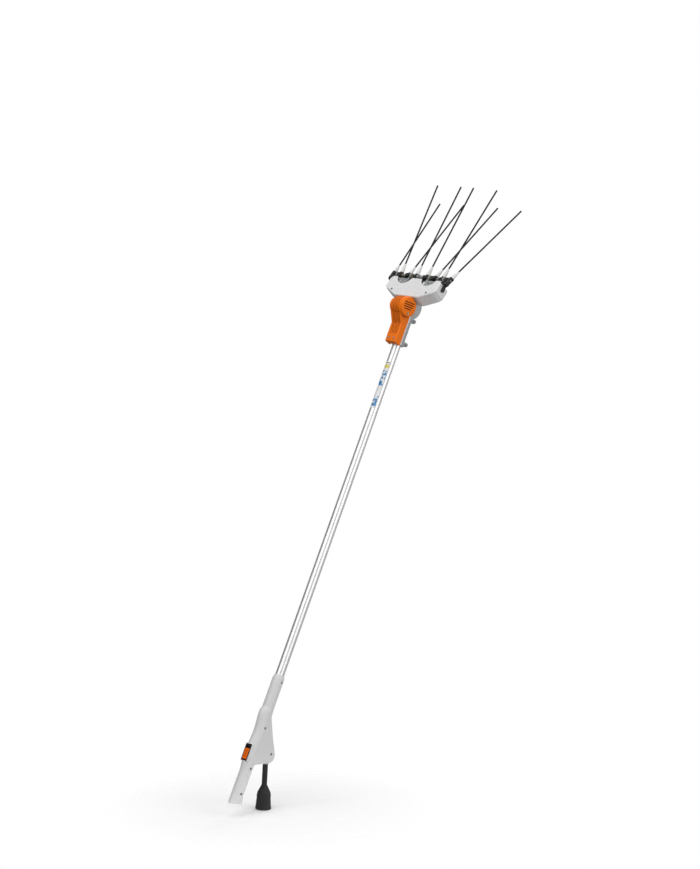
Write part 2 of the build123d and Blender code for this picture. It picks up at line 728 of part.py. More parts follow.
def head_shell(front, back):
    """One shell of the housing between two depths, with its screw bosses and the drive mouth."""
    with BuildPart() as shell:
        add(head_solid.part)
        add(head_hollow.part, mode=Mode.SUBTRACT)
        with BuildSketch(head_front(HEAD_REAR_W - 1)):
            with Locations(*HEAD_BOSSES, *REAR_BOSSES):
                Circle(4.2)
        extrude(amount=HEAD_REAR_W - HEAD_FRONT_W - 2)
        with BuildSketch(head_front(HEAD_REAR_W + 1)):
            with Locations((0, HEAD_BOTTOM_U + 10)):
                Rectangle(2 * MOUTH_HALF, 54)
        extrude(amount=HEAD_REAR_W + 1 - HEAD_FRONT_W - SHELL, mode=Mode.SUBTRACT)
        with BuildSketch(head_front(back)):
            Rectangle(3 * HEAD_HALF, 3 * HEAD_HALF)
        extrude(amount=back - front, mode=Mode.INTERSECT)
    return shell


with BuildPart() as head_front_shell:
    add(head_shell(HEAD_FRONT_W - 1, HEAD_SPLIT_W).part)
    with BuildSketch(head_front(HEAD_FRONT_W + 2.2)):
        with Locations(*HEAD_BOSSES):
            Circle(3.8)
    extrude(amount=5, mode=Mode.SUBTRACT)
    with BuildSketch(head_front(HEAD_SPLIT_W + 1)):
        with Locations(*HEAD_BOSSES):
            Circle(1.9)
    extrude(amount=40, mode=Mode.SUBTRACT)
    with BuildSketch(head_front(HEAD_SPLIT_W + 1)):
        with Locations(*REAR_BOSSES):
            Circle(1.7)
    extrude(amount=11, mode=Mode.SUBTRACT)
save(head_front_shell.part, "head_front_shell")

with BuildPart() as head_rear_shell:
    add(head_shell(HEAD_SPLIT_W, HEAD_REAR_W + 1).part)
    with BuildSketch(head_front(HEAD_REAR_W - 1)):
        with Locations(*FRAME_BOLTS):
            Circle(5)
    extrude(amount=HEAD_REAR_W - 1 - RAIL_BACK)
    with BuildSketch(head_front(HEAD_REAR_W - 4)):
        with Locations(*HEAD_BOSSES):
            Circle(1.7)
    extrude(amount=30, mode=Mode.SUBTRACT)
    with BuildSketch(head_front(HEAD_REAR_W + 1)):
        with Locations(*REAR_BOSSES):
            Circle(3.6)
    extrude(amount=3.6, mode=Mode.SUBTRACT)
    with BuildSketch(head_front(HEAD_REAR_W + 1)):
        with Locations(*REAR_BOSSES):
            Circle(1.7)
    extrude(amount=30, mode=Mode.SUBTRACT)
    with BuildSketch(head_front(HEAD_REAR_W + 1)):
        with Locations(*FRAME_BOLTS):
            Circle(2.2)
    extrude(amount=12, mode=Mode.SUBTRACT)
save(head_rear_shell.part, "head_rear_shell")

with BuildPart() as head_screws:
    with BuildSketch(head_front(HEAD_FRONT_W + 2.2)):
        with Locations(*HEAD_BOSSES):
            Circle(3.4)
    extrude(amount=1.8)
    with BuildSketch(head_front(HEAD_REAR_W - 6)):
        with Locations(*HEAD_BOSSES):
            Circle(1.7)
    extrude(amount=HEAD_REAR_W - 6 - HEAD_FRONT_W - 2.2)
    with BuildSketch(head_front(HEAD_FRONT_W + 1.4)):
        with Locations(*HEAD_BOSSES):
            Rectangle(4.4, 0.9)
            Rectangle(0.9, 4.4)
    extrude(amount=3, mode=Mode.SUBTRACT)
    with BuildSketch(head_front(HEAD_REAR_W - 0.8)):
        with Locations(*REAR_BOSSES):
            Circle(3.3)
    extrude(amount=1.8)
    with BuildSketch(head_front(HEAD_REAR_W - 2)):
        with Locations(*REAR_BOSSES):
            Circle(1.7)
    extrude(amount=30)
save(head_screws.part, "head_screws")

# bolts that hold the rocker frame's rails to the rear shell
with BuildPart() as frame_bolts:
    with BuildSketch(head_front(HEAD_REAR_W + 2.6)):
        with Locations(*FRAME_BOLTS):
            RegularPolygon(4, 6)
    extrude(amount=2.6)
    with BuildSketch(head_front(HEAD_REAR_W)):
        with Locations(*FRAME_BOLTS):
            Circle(2)
    extrude(amount=HEAD_REAR_W - RAIL_FRONT)
save(frame_bolts.part, "frame_bolts")

# ---- orange motor cover ------------------------------------------------------------------------
DRUM_SIDE = DRUM_HIGH - COVER_WALL
NECK_SHAPE = ((COVER_BACK_Y, COVER_BOTTOM_Z), (NECK_FRONT_Y, COVER_BOTTOM_Z + 4),
              (NECK_FRONT_Y, 1574), (-60, 1606), (-40, 1622), (COVER_BACK_Y, 1616))
GROOVE_X = (-9.4, -3, 3.4, 9.8, 16.2)
GROOVE_WIDTH = 2.6
NECK_ROUNDING = 5.0
LOUVRES = ((44, 12), (44, 5), (40, -2), (32, -9))
SMALL_LOUVRES = ((32, 12), (36, 5), (36, -2), (30, -9))
SIDE_SCREW = (-36, 1607)
FRONT_SCREWS = ((-9.5, 1523), (13.5, 1523))


def drum_end(radius, low, high):
    """Round drum parallel to X with rounded rims."""
    with BuildPart() as drum:
        add(along_x(motor_centre, radius, low, high))
        fillet(drum.edges().filter_by(GeomType.CIRCLE), 3.5)
    return drum.part


def neck_profile():
    """Side outline of the neck that runs down in front of the pole."""
    with BuildSketch() as profile:
        with BuildLine():
            Polyline(*NECK_SHAPE, close=True)
        make_face()
    return profile.sketch


def louvre_bars(sizes, low, high, lift, thickness):
    """Slanted bars across a drum end, one for each louvre."""
    with BuildPart() as bars:
        with BuildSketch(side_plane(low)):
            with Locations(motor_centre):
                for length, height in sizes:
                    with Locations(Location((-4, height + lift), 7)):
                        SlotOverall(length, thickness)
        extrude(amount=high - low)
    return bars.part


with BuildPart() as neck_solid:
    with BuildSketch(side_plane(-NECK_HALF)):
        add(neck_profile())
    extrude(amount=2 * NECK_HALF)
    front_edges = [edge for edge in neck_solid.edges()
                   if abs(edge.center().X) > NECK_HALF - 0.1 and edge.center().Y < NECK_FRONT_Y + 1]
    fillet(front_edges, NECK_ROUNDING)

with BuildPart() as cover_solid:
    add(drum_end(DRUM_R, DRUM_LOW, DRUM_HIGH))
    add(drum_end(SMALL_DRUM_R, SMALL_DRUM_LOW, DRUM_LOW + 8))
    add(neck_solid.part)
    add(louvre_bars(SMALL_LOUVRES, SMALL_DRUM_LOW - 4, SMALL_DRUM_LOW + 2, 2.6, 1.5))

with BuildPart() as motor_cover:
    add(cover_solid.part)
    add(along_x(motor_centre, DRUM_R - COVER_WALL, DRUM_LOW + COVER_WALL, DRUM_SIDE),
        mode=Mode.SUBTRACT)
    add(along_x(motor_centre, SMALL_DRUM_R - COVER_WALL, SMALL_DRUM_LOW + COVER_WALL, 0),
        mode=Mode.SUBTRACT)
    with BuildSketch(side_plane(COVER_WALL - NECK_HALF)):
        add(neck_profile())
        offset(amount=-COVER_WALL, kind=Kind.INTERSECTION)
        with Locations((COVER_BACK_Y, 1555)):
            Rectangle(12, 89)
    extrude(amount=2 * NECK_HALF - 2 * COVER_WALL, mode=Mode.SUBTRACT)
    with BuildSketch(side_plane(-CASE_HALF - 0.5)):
        case_outline(-0.6)
    extrude(amount=2 * CASE_HALF + 1, mode=Mode.SUBTRACT)
    with BuildSketch(Plane.XY.offset(COVER_BOTTOM_Z - 1)):
        Circle(CLAMP_R + 0.4)
    extrude(amount=TUBE_TOP + 10 - COVER_BOTTOM_Z, mode=Mode.SUBTRACT)
    for groove_x in GROOVE_X:
        with BuildSketch(side_plane(groove_x - GROOVE_WIDTH / 2)):
            with Locations(motor_centre):
                Circle(DRUM_R + 1)
                Circle(DRUM_R - 1.5, mode=Mode.SUBTRACT)
                with Locations((DRUM_R / 2, -4)):
                    Rectangle(DRUM_R * 1.9, 3 * DRUM_R, mode=Mode.SUBTRACT)
            with BuildLine():
                Polyline((NECK_FRONT_Y - 1, 1538), (NECK_FRONT_Y - 1, 1573.6), (-61, 1606),
                         (-58.4, 1606), (NECK_FRONT_Y + 1.4, 1575), (NECK_FRONT_Y + 1.4, 1538),
                         close=True)
            make_face()
        extrude(amount=GROOVE_WIDTH, mode=Mode.SUBTRACT)
    add(louvre_bars(LOUVRES, DRUM_SIDE - 1, DRUM_HIGH + 1, 0, 3), mode=Mode.SUBTRACT)
    add(louvre_bars(SMALL_LOUVRES, SMALL_DRUM_LOW - 5, SMALL_DRUM_LOW + 4, 0, 3),
        mode=Mode.SUBTRACT)
    add(along_x(SIDE_SCREW, 4.4, DRUM_HIGH - 1.2, DRUM_HIGH + 1), mode=Mode.SUBTRACT)
    add(along_x(SIDE_SCREW, 1.6, DRUM_SIDE - 1, DRUM_HIGH + 1), mode=Mode.SUBTRACT)
    with BuildSketch(Plane.XZ.offset(-NECK_FRONT_Y + 1)):
        with Locations(*FRONT_SCREWS):
            Circle(1.6)
    extrude(amount=-6, mode=Mode.SUBTRACT)
save(motor_cover.part, "motor_cover")

with BuildPart() as cover_screws:
    add(along_x(SIDE_SCREW, 3.6, DRUM_HIGH - 1.2, DRUM_HIGH + 0.6))
    add(along_x(SIDE_SCREW, 1.6, DRUM_SIDE - 0.9, DRUM_HIGH - 1))
    with BuildSketch(Plane.XZ.offset(-NECK_FRONT_Y)):
        with Locations(*FRONT_SCREWS):
            Circle(3.2)
    extrude(amount=1.6)
    with BuildSketch(Plane.XZ.offset(-NECK_FRONT_Y)):
        with Locations(*FRONT_SCREWS):
            Circle(1.6)
    extrude(amount=-8)
save(cover_screws.part, "cover_screws")

# ---- control handle ----------------------------------------------------------------------------
HOUSING_SHAPE = ((-8, 292), (-13, 200), (-13, 124), (8, 131), (76, 159),
                 (84, 168), (84, 186), (50, 232), (12, 292))
SWELL_HALF_X = 18.6
SWELL_LOW_Z = 98.0
SWELL_HIGH_Z = 312.0
SWELL = ((118, -0.6, 19.8), (136, -1.6, 22.3), (192, -1.6, 22.3), (250, -0.8, 19.8))
HANDLE_SCREWS = ((-2.5, 37), (0, 119), (0, 249), (64, 184))


def housing_volume(inset):
    """Flat-sided housing behind the switch, with rounded corners and rims."""
    with BuildPart() as housing:
        with BuildSketch(side_plane(inset - HOUSING_HALF)):
            with BuildLine():
                Polyline(*HOUSING_SHAPE, close=True)
            make_face()
            offset(amount=-inset - 0.01, kind=Kind.INTERSECTION)
        extrude(amount=2 * (HOUSING_HALF - inset))
        fillet(housing.faces().filter_by(Axis.X).edges(), 5.2 - inset)
    return housing.part


def swell_volume(inset):
    """Oval swelling around the switch, drawn smoothly between the round grip and sleeve."""
    with BuildPart() as swell:
        with BuildSketch(Plane.XY.offset(SWELL_LOW_Z)):
            Circle(GRIP_R - 0.8 - inset)
        for height, middle, depth in SWELL:
            with BuildSketch(Plane.XY.offset(height)):
                with Locations((0, middle)):
                    Ellipse(SWELL_HALF_X - inset, depth - inset)
        with BuildSketch(Plane.XY.offset(SWELL_HIGH_Z)):
            Circle(SLEEVE_R - inset)
        loft()
    return swell.part


def bezel_volume(inset):
    """Raised flat pad that carries the switch frame."""
    with BuildPart() as bezel:
        with BuildSketch(Plane.XZ.offset(-BEZEL_FACE_Y - inset)):
            with Locations((0, (SWITCH_LOW_Z + SWITCH_HIGH_Z) / 2)):
                RectangleRounded(2 * (SWITCH_HALF_X + BEZEL_RIM - inset),
                                 SWITCH_HIGH_Z - SWITCH_LOW_Z + 2 * (BEZEL_RIM - inset), 3)
        extrude(amount=-16)
        if inset == 0:
            fillet(bezel.faces().sort_by(Axis.Y)[0].edges(), 1.6)
    return bezel.part


def foot_plane(inset):
    """Slanted plane of the grip's foot, its front edge lowest; the normal points down."""
    slant = radians(GRIP_SLANT)
    return Plane(origin=(0, -GRIP_R - 0.5, inset), x_dir=(1, 0, 0), z_dir=(0, sin(slant), -cos(slant)))


def handle_volume(inset, top):
    """Outer volume of the handle, or its hollow when inset by the wall."""
    with BuildPart() as volume:
        with BuildSketch(Plane.XY.offset(inset - 2)):
            with Locations((0, 4)):
                Ellipse(GRIP_R - inset, GRIP_R + 4.5 - inset)
        with BuildSketch(Plane.XY.offset(34)):
            Circle(GRIP_R - 0.8 - inset)
        loft()
        with BuildSketch(Plane.XY.offset(34)):
            Circle(GRIP_R - 0.8 - inset)
        extrude(amount=SWELL_LOW_Z - 34)
        with BuildSketch(Plane.XY.offset(SWELL_HIGH_Z)):
            Circle(SLEEVE_R - inset)
        extrude(amount=top - SWELL_HIGH_Z)
        add(swell_volume(inset))
        add(bezel_volume(inset))
        add(housing_volume(inset))
        with BuildSketch(foot_plane(inset)):
            Rectangle(120, 120)
        extrude(amount=40, mode=Mode.SUBTRACT)
    return volume.part


with BuildPart() as handle_solid:
    add(handle_volume(0, HANDLE_TOP))
    add(handle_volume(HANDLE_WALL, HANDLE_TOP - 4), mode=Mode.SUBTRACT)
    for spot in HANDLE_SCREWS:
        add(along_x(spot, 4.4, -15, 15))
    with BuildSketch(Plane.XY.offset(TUBE_BOTTOM + 2)):
        Circle(SLEEVE_R - 1)
    extrude(amount=10)
    with BuildSketch(Plane.XY.offset(HANDLE_TOP - 22)):
        Circle(SLEEVE_R - 1)
    extrude(amount=22)
    with BuildSketch(Plane.XY.offset(TUBE_BOTTOM)):
        Circle(TUBE_R)
    extrude(amount=HANDLE_TOP, mode=Mode.SUBTRACT)
    with BuildSketch(Plane.XZ.offset(40)):
        with Locations((0, (SWITCH_LOW_Z + SWITCH_HIGH_Z) / 2)):
            RectangleRounded(2 * SWITCH_HALF_X, SWITCH_HIGH_Z - SWITCH_LOW_Z, 3)
    extrude(amount=-25, mode=Mode.SUBTRACT)

BOOT_WAY = Vector(0, sin(radians(BOOT_TILT)), -cos(radians(BOOT_TILT)))


def boot_plane(down):
    """Plane square to the coupling boot's axis, a distance below the handle's underside."""
    spot = Vector(0, BOOT_Y, BOOT_Z) + BOOT_WAY * down
    return Plane(origin=spot, x_dir=(1, 0, 0), z_dir=BOOT_WAY)


with BuildPart() as handle_right_shell:
    add(handle_solid.part)
    with BuildSketch(boot_plane(-14)):
        Circle(NECK_R + 1.2)
    extrude(amount=20, mode=Mode.SUBTRACT)
    with BuildSketch(boot_plane(-0.8)):
        Circle(NECK_R + 3.2)
    extrude(amount=8, mode=Mode.SUBTRACT)
    add(along_x((60, 210), 600, -80, 0), mode=Mode.SUBTRACT)
    for spot in HANDLE_SCREWS:
        add(along_x(spot, 3.9, 14.2, 30), mode=Mode.SUBTRACT)
        add(along_x(spot, 1.9, -1, 20), mode=Mode.SUBTRACT)
    add(along_x(TOP_SCREW, 3.4, 15.2, 30), mode=Mode.SUBTRACT)
    add(along_x(TOP_SCREW, 1.6, 10, 20), mode=Mode.SUBTRACT)
save(handle_right_shell.part, "handle_right_shell")

with BuildPart() as handle_left_shell:
    add(handle_solid.part)
    with BuildSketch(boot_plane(-14)):
        Circle(NECK_R + 1.2)
    extrude(amount=20, mode=Mode.SUBTRACT)
    with BuildSketch(boot_plane(-0.8)):
        Circle(NECK_R + 3.2)
    extrude(amount=8, mode=Mode.SUBTRACT)
    add(along_x((60, 210), 600, 0, 80), mode=Mode.SUBTRACT)
    for spot in HANDLE_SCREWS:
        add(along_x(spot, 1.6, -12, 1), mode=Mode.SUBTRACT)
save(handle_left_shell.part, "handle_left_shell")

with BuildPart() as handle_screws:
    for spot in HANDLE_SCREWS:
        add(along_x(spot, 3.3, 14.2, 16.4))
        add(along_x(spot, 1.6, -10, 14.5))
        add(along_x(spot, 1.3, 15.6, 18), mode=Mode.SUBTRACT)
    add(along_x(TOP_SCREW, 3.1, 15.2, 17))
    add(along_x(TOP_SCREW, 1.6, 11, 15.4))
save(handle_screws.part, "handle_screws")

with BuildPart() as handle_collar:
    with BuildSketch(Plane.XY.offset(HANDLE_TOP)):
        Circle(SLEEVE_R)
    with BuildSketch(Plane.XY.offset(HANDLE_TOP + 12)):
        Circle(TUBE_R + 1.8)
    loft()
    with BuildSketch(Plane.XY.offset(HANDLE_TOP)):
        Circle(TUBE_R)
    extrude(amount=20, mode=Mode.SUBTRACT)
save(handle_collar.part, "handle_collar")

# ---- slide switch and control electronics ------------------------------------------------------
SWITCH_Z = (SWITCH_LOW_Z + SWITCH_HIGH_Z) / 2
BUTTON_LOW_Z = SWITCH_LOW_Z + 4.5
SLOT_LENGTH = BUTTON_LENGTH + BUTTON_TRAVEL + 0.6
with BuildPart() as switch_frame:
    with BuildSketch(Plane.XZ.offset(-SWITCH_FACE_Y + 0.6)):
        with Locations((0, SWITCH_Z)):
            RectangleRounded(2 * SWITCH_HALF_X, SWITCH_HIGH_Z - SWITCH_LOW_Z, 3)
    extrude(amount=-9)
    with BuildSketch(Plane.XZ.offset(-SWITCH_FACE_Y + 2)):
        with Locations((0, BUTTON_LOW_Z - 0.3 + SLOT_LENGTH / 2)):
            Rectangle(2 * BUTTON_HALF_X + 0.6, SLOT_LENGTH)
    extrude(amount=-7.6, mode=Mode.SUBTRACT)
    with BuildSketch(Plane.XZ.offset(-SWITCH_FACE_Y + 2)):
        with Locations((0, BUTTON_LOW_Z + BUTTON_LENGTH / 2 + BUTTON_TRAVEL / 2)):
            Rectangle(5, 22)
    extrude(amount=-14, mode=Mode.SUBTRACT)
save(switch_frame.part, "switch_frame")

with BuildPart() as switch_button:
    with BuildSketch(Plane.XZ.offset(-SWITCH_FACE_Y - 5.2)):
        with Locations((0, BUTTON_LOW_Z + BUTTON_LENGTH / 2)):
            RectangleRounded(2 * BUTTON_HALF_X, BUTTON_LENGTH, 2)
    extrude(amount=7.4)
    fillet(switch_button.faces().sort_by(Axis.Y)[0].edges(), 1)
    with BuildSketch(Plane.XZ.offset(-SWITCH_FACE_Y + 3.2)):
        with GridLocations(0, 4.4, 1, 5):
            with Locations((0, BUTTON_LOW_Z + BUTTON_LENGTH / 2)):
                SlotOverall(12, 1.6)
    extrude(amount=-1.9, mode=Mode.SUBTRACT)
    with BuildSketch(Plane.XZ.offset(-SWITCH_FACE_Y - 5)):
        with Locations((0, BUTTON_LOW_Z + BUTTON_LENGTH / 2)):
            Rectangle(4.2, 12)
    extrude(amount=-7.8)
save(switch_button.part, "switch_button")

with BuildPart() as micro_switch:
    with BuildSketch(side_plane(-5)):
        with Locations((-4, 164)):
            Rectangle(12, 22)
    extrude(amount=10)
    add(along_x((-1, 157), 1.5, -6, 6), mode=Mode.SUBTRACT)
    add(along_x((-1, 171), 1.5, -6, 6), mode=Mode.SUBTRACT)
save(micro_switch.part, "micro_switch")

BOARD_MIDDLE = (31, 194)
BOARD_POSTS = ((17, 176), (45, 212))
with BuildPart() as control_board:
    with BuildSketch(side_plane(2)):
        with Locations(BOARD_MIDDLE):
            Rectangle(40, 52)
        with Locations(*BOARD_POSTS):
            Circle(1.5, mode=Mode.SUBTRACT)
    extrude(amount=1.6)
save(control_board.part, "control_board")

with BuildPart() as board_parts:
    for offset_z in (-16, -4):
        add(along_x((BOARD_MIDDLE[0] + 8, BOARD_MIDDLE[1] + offset_z), 5, -10, 2))
    with BuildSketch(side_plane(-4)):
        with Locations((BOARD_MIDDLE[0] - 8, BOARD_MIDDLE[1] + 6)):
            Rectangle(14, 10)
        with Locations((BOARD_MIDDLE[0] + 4, BOARD_MIDDLE[1] + 16)):
            Rectangle(10, 8)
    extrude(amount=6)
save(board_parts.part, "board_parts")

# ---- coupling boot -----------------------------------------------------------------------------
with BuildPart() as boot_flange:
    with BuildSketch(boot_plane(-0.8)):
        Circle(NECK_R + 3.2)
        Circle(NECK_R, mode=Mode.SUBTRACT)
    extrude(amount=5)
    with BuildSketch(boot_plane(-10)):
        Circle(NECK_R + 1.2)
        Circle(NECK_R, mode=Mode.SUBTRACT)
    extrude(amount=12)
save(boot_flange.part, "boot_flange")

with BuildPart() as boot:
    with BuildSketch(boot_plane(-12)):
        Circle(NECK_R)
    extrude(amount=NECK_LENGTH + 13)
    with BuildSketch(boot_plane(NECK_LENGTH)):
        Circle(NECK_R)
    with BuildSketch(boot_plane(SHOULDER_END)):
        Circle(SHOULDER_R)
    loft()
    with BuildSketch(boot_plane(SHOULDER_END)):
        Circle(SHOULDER_R)
    with BuildSketch(boot_plane(BELL_END - 4)):
        Circle(BELL_R - 0.6)
    loft()
    with BuildSketch(boot_plane(BELL_END - 5)):
        Circle(BELL_R)
    extrude(amount=5)
    for ring_down in (SHOULDER_END + 8, SHOULDER_END + 20, SHOULDER_END + 32):
        with BuildSketch(boot_plane(ring_down)):
            Circle(SHOULDER_R + 1.6)
        extrude(amount=3)
    with BuildSketch(boot_plane(-13)):
        Circle(NECK_R - 3)
    extrude(amount=BELL_END - SOCKET_DEPTH - 12, mode=Mode.SUBTRACT)
    with BuildSketch(boot_plane(BELL_END - SOCKET_DEPTH - 26)):
        Circle(13)
    extrude(amount=40, mode=Mode.SUBTRACT)
    with BuildSketch(boot_plane(BELL_END - SOCKET_DEPTH)):
        Circle(SOCKET_R)
    extrude(amount=SOCKET_DEPTH + 1, mode=Mode.SUBTRACT)
save(boot.part, "boot")

with BuildPart() as socket_insert:
    with BuildSketch(boot_plane(BELL_END - SOCKET_DEPTH - 24)):
        Circle(13)
    extrude(amount=23)
    with BuildSketch(boot_plane(BELL_END - SOCKET_DEPTH - 16)):
        with PolarLocations(6.5, 3):
            Circle(2.6)
    extrude(amount=20, mode=Mode.SUBTRACT)
save(socket_insert.part, "socket_insert")

with BuildPart() as socket_contacts:
    with BuildSketch(boot_plane(BELL_END - SOCKET_DEPTH - 16)):
        with PolarLocations(6.5, 3):
            Circle(1.6)
    extrude(amount=13)
save(socket_contacts.part, "socket_contacts")

# lead inside the boot's neck, from the board to the socket
with BuildPart() as boot_lead:
    with BuildSketch(boot_plane(-20)):
        Circle(3)
    extrude(amount=BELL_END - SOCKET_DEPTH - 5)
save(boot_lead.part, "boot_lead")
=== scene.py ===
import bpy
import math
from mathutils import Matrix, Vector


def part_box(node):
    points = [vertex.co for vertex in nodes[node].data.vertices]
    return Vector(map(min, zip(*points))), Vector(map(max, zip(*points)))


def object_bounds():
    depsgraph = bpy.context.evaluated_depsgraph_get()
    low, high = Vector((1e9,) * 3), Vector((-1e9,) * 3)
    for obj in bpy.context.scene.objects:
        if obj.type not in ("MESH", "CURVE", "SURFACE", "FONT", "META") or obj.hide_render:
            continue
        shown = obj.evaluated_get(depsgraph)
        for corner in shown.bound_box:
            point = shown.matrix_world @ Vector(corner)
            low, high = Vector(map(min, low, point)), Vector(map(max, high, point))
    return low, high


# Battery pole harvester: finishes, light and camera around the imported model.
# Lengths are metres in the model's frame: +Z up the pole, -Y the front.
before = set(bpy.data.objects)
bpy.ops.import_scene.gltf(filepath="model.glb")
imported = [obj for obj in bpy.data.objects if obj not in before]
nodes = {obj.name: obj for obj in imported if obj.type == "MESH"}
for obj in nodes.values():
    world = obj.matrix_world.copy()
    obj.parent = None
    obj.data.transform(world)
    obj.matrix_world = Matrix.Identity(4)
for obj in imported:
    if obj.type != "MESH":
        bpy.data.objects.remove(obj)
cad_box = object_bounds()
MM = 0.001


# ---- camera ------------------------------------------------------------------------------------
VIEW_AZIMUTH = math.radians(45.0)       # from the front towards +X
VIEW_ELEVATION = math.radians(-10.2)    # below 0 looks up at the tool
VIEW_ROLL = math.radians(-19.62)        # leans the upright pole to the right in the frame
VIEW_DISTANCE = 9.0
VIEW_LENS = 119.5
SENSOR_WIDTH = 36.0
AIM_X = -0.0627                         # aim point's offset from the pole
AIM_RISE = 0.1625                       # aim point's height above the middle of the model's box

back = Vector((math.sin(VIEW_AZIMUTH) * math.cos(VIEW_ELEVATION),
               -math.cos(VIEW_AZIMUTH) * math.cos(VIEW_ELEVATION), math.sin(VIEW_ELEVATION)))
side = Vector((0, 0, 1)).cross(back).normalized()
level_up = back.cross(side)
view_up = side * math.sin(VIEW_ROLL) + level_up * math.cos(VIEW_ROLL)
view_right = view_up.cross(back)
middle_height = (cad_box[0].z + cad_box[1].z) / 2
aim = Vector((AIM_X, 0, middle_height + AIM_RISE))

camera_data = bpy.data.cameras.new("camera")
camera_data.lens = VIEW_LENS
camera_data.sensor_width = SENSOR_WIDTH
camera = bpy.data.objects.new("camera", camera_data)
bpy.context.scene.collection.objects.link(camera)
camera.rotation_mode = "QUATERNION"
camera.rotation_quaternion = Matrix((view_right, view_up, back)).transposed().to_quaternion()
camera.location = aim + back * VIEW_DISTANCE
bpy.context.scene.camera = camera


# ---- material kit ------------------------------------------------------------------------------
MIX_FIRST_COLOUR = 6                    # sockets of a Mix node set to colour
MIX_SECOND_COLOUR = 7
MIX_COLOUR_RESULT = 2
OPEN_FACE = 0.995                       # how far a rounded normal agrees with the flat one
SHARP_EDGE = 0.93


class Finish:
    """A principled material under construction: small helpers that add and link nodes."""

    def __init__(self, name, colour, metallic=0.0, roughness=0.5, **sockets):
        self.material = bpy.data.materials.new(name)
        self.material.use_nodes = True
        self.tree = self.material.node_tree
        self.shader = self.tree.nodes["Principled BSDF"]
        self.shader.inputs["Base Color"].default_value = (*colour, 1)
        self.shader.inputs["Metallic"].default_value = metallic
        self.shader.inputs["Roughness"].default_value = roughness
        for key, value in sockets.items():
            self.shader.inputs[key.replace("_", " ")].default_value = value
        self.colour = colour

    def add(self, kind, **settings):
        node = self.tree.nodes.new(kind)
        for key, value in settings.items():
            setattr(node, key, value)
        return node

    def link(self, source, target):
        """Wire from an output to an input."""
        self.tree.links.new(source, target)

    def place(self, stretch=(1, 1, 1), turn=(0, 0, 0)):
        """Object coordinates in metres, turned and stretched."""
        where = self.add("ShaderNodeTexCoord")
        turned = self.add("ShaderNodeMapping")
        turned.inputs["Rotation"].default_value = turn
        self.link(where.outputs["Object"], turned.inputs["Vector"])
        scaled = self.add("ShaderNodeMapping")
        scaled.inputs["Scale"].default_value = stretch
        self.link(turned.outputs[0], scaled.inputs["Vector"])
        return scaled.outputs[0]

    def noise(self, vector, scale, detail=3.0, rough=0.5):
        """Cloudy noise, about 0.3 to 0.7."""
        node = self.add("ShaderNodeTexNoise")
        node.inputs["Scale"].default_value = scale
        node.inputs["Detail"].default_value = detail
        node.inputs["Roughness"].default_value = rough
        self.link(vector, node.inputs["Vector"])
        return node.outputs["Fac"]

    def cells(self, vector, scale):
        """Distance to the nearest of scattered points."""
        node = self.add("ShaderNodeTexVoronoi")
        node.inputs["Scale"].default_value = scale
        self.link(vector, node.inputs["Vector"])
        return node.outputs["Distance"]

    def rings(self, vector, scale, axis, distortion=0.0):
        """Even bands across one axis."""
        node = self.add("ShaderNodeTexWave", wave_type="BANDS", bands_direction=axis)
        node.inputs["Scale"].default_value = scale
        node.inputs["Distortion"].default_value = distortion
        self.link(vector, node.inputs["Vector"])
        return node.outputs["Fac"]

    def span(self, value, low, high, to_low=0.0, to_high=1.0):
        """Value stretched from one range to another, and held inside it."""
        node = self.add("ShaderNodeMapRange")
        for key, number in (("From Min", low), ("From Max", high), ("To Min", to_low),
                            ("To Max", to_high)):
            node.inputs[key].default_value = number
        self.link(value, node.inputs["Value"])
        return node.outputs[0]

    def maths(self, operation, first, second):
        """Arithmetic on two values, each a number or an output."""
        node = self.add("ShaderNodeMath", operation=operation)
        for number, value in enumerate((first, second)):
            if isinstance(value, (int, float)):
                node.inputs[number].default_value = value
            else:
                self.link(value, node.inputs[number])
        return node.outputs[0]

    def blend(self, amount, first, second):
        """Mix of two colours, each a triple or an output."""
        node = self.add("ShaderNodeMix", data_type="RGBA")
        self.link(amount, node.inputs["Factor"])
        for number, value in ((MIX_FIRST_COLOUR, first), (MIX_SECOND_COLOUR, second)):
            if isinstance(value, tuple):
                node.inputs[number].default_value = (*value, 1)
            else:
                self.link(value, node.inputs[number])
        return node.outputs[MIX_COLOUR_RESULT]

    def bump(self, height, strength, distance):
        """Relief on top of any relief there already."""
        node = self.add("ShaderNodeBump")
        node.inputs["Strength"].default_value = strength
        node.inputs["Distance"].default_value = distance
        self.link(height, node.inputs["Height"])
        previous = self.shader.inputs["Normal"].links
        if previous:
            self.link(previous[0].from_socket, node.inputs["Normal"])
        self.link(node.outputs[0], self.shader.inputs["Normal"])

    def crevices(self, distance):
        """1 in the open, falling to 0 in corners and grooves."""
        node = self.add("ShaderNodeAmbientOcclusion", samples=6, only_local=False)
        node.inputs["Distance"].default_value = distance
        return node.outputs["AO"]

    def edges(self, radius):
        """1 along sharp edges, 0 on open faces."""
        rounded = self.add("ShaderNodeBevel", samples=4)
        rounded.inputs["Radius"].default_value = radius
        plain = self.add("ShaderNodeNewGeometry")
        product = self.add("ShaderNodeVectorMath", operation="DOT_PRODUCT")
        self.link(rounded.outputs[0], product.inputs[0])
        self.link(plain.outputs["Normal"], product.inputs[1])
        return self.span(product.outputs["Value"], OPEN_FACE, SHARP_EDGE)

    def set_colour(self, output):
        self.link(output, self.shader.inputs["Base Color"])

    def set_roughness(self, output):
        self.link(output, self.shader.inputs["Roughness"])


def shade(colour, factor):
    """Colour made lighter or darker by a factor."""
    return tuple(min(1.0, channel * factor) for channel in colour)


def tint(colour, towards, amount):
    """Colour moved part of the way towards another."""
    return tuple(a + (b - a) * amount for a, b in zip(colour, towards))


# tint of the painted shade in the corners of moulded plastic
SHADE_TINT = (0.32, 0.29, 0.25)
SCUFF = (0.6, 0.6, 0.58)


